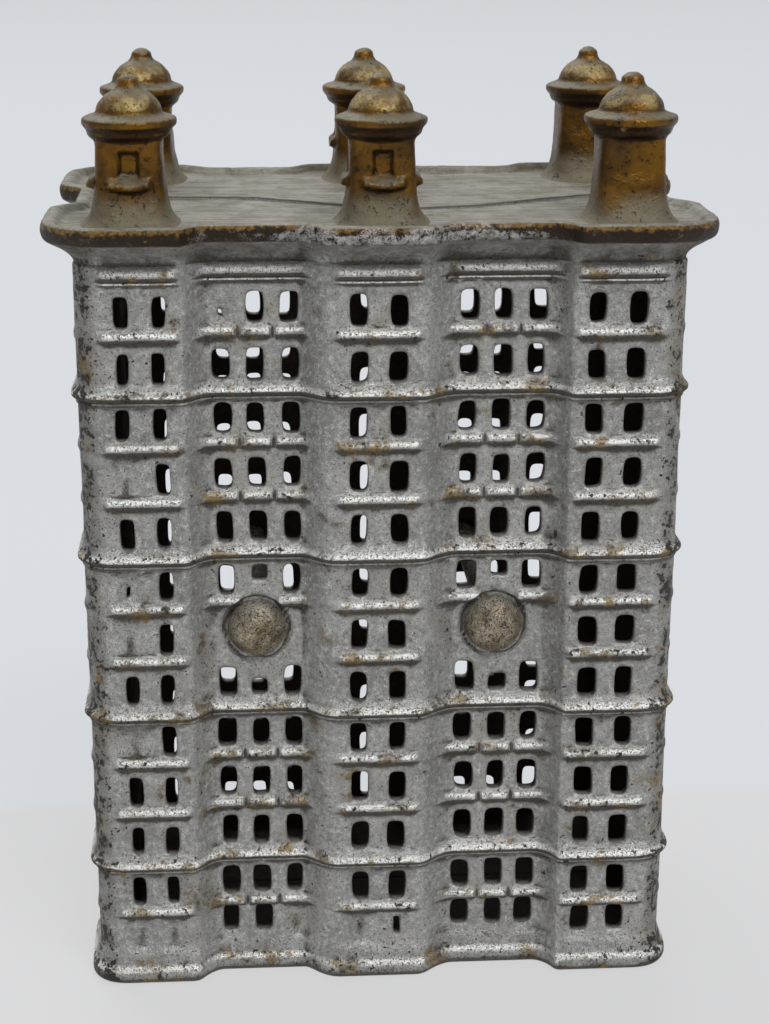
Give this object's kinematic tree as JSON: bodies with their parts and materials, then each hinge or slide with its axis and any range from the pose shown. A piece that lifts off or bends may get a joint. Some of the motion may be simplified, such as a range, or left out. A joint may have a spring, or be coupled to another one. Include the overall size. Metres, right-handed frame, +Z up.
{
  "type": "still bank",
  "caption": "Cast iron coin bank shaped like an apartment tower, in front and rear castings held by domed bolts and nuts, with roof posts and pierced windows.",
  "frame": {"origin": "middle of the base, on the surface the bank stands on", "axes": "+X along the front towards the right, +Y from the front to the back, +Z up"},
  "size_m": [0.1154, 0.0754, 0.165],
  "materials": {
    "front_casting": "worn aluminium paint over dark cast iron, with worn bronze paint on the posts and the roof's edge",
    "rear_casting": "worn aluminium paint over dark cast iron, with worn bronze paint on the posts and the roof's edge",
    "bolt_iron": "dull grey-brown oxidised iron",
    "nut_iron": "dull oxidised iron"
  },
  "bodies": {
    "rear": {"rear_half": "rear_casting"},
    "front": {"front_half": "front_casting"},
    "bolt_left": {"bolt_left": "bolt_iron"},
    "bolt_right": {"bolt_right": "bolt_iron"},
    "nut_left": {"nut_left": "nut_iron"},
    "nut_right": {"nut_right": "nut_iron"}
  },
  "joints": [
    {"name": "front_half_off", "type": "slide", "parent": "rear", "child": "front", "axis": [0, -1, 0], "range_m": [0, 0.09]},
    {"name": "bolt_left_out", "type": "slide", "parent": "front", "child": "bolt_left", "axis": [0, -1, 0], "range_m": [0, 0.075]},
    {"name": "bolt_right_out", "type": "slide", "parent": "front", "child": "bolt_right", "axis": [0, -1, 0], "range_m": [0, 0.075]},
    {"name": "nut_left_off", "type": "slide", "parent": "rear", "child": "nut_left", "axis": [0, 1, 0], "range_m": [0, 0.015]},
    {"name": "nut_right_off", "type": "slide", "parent": "rear", "child": "nut_right", "axis": [0, 1, 0], "range_m": [0, 0.015]}
  ]
}
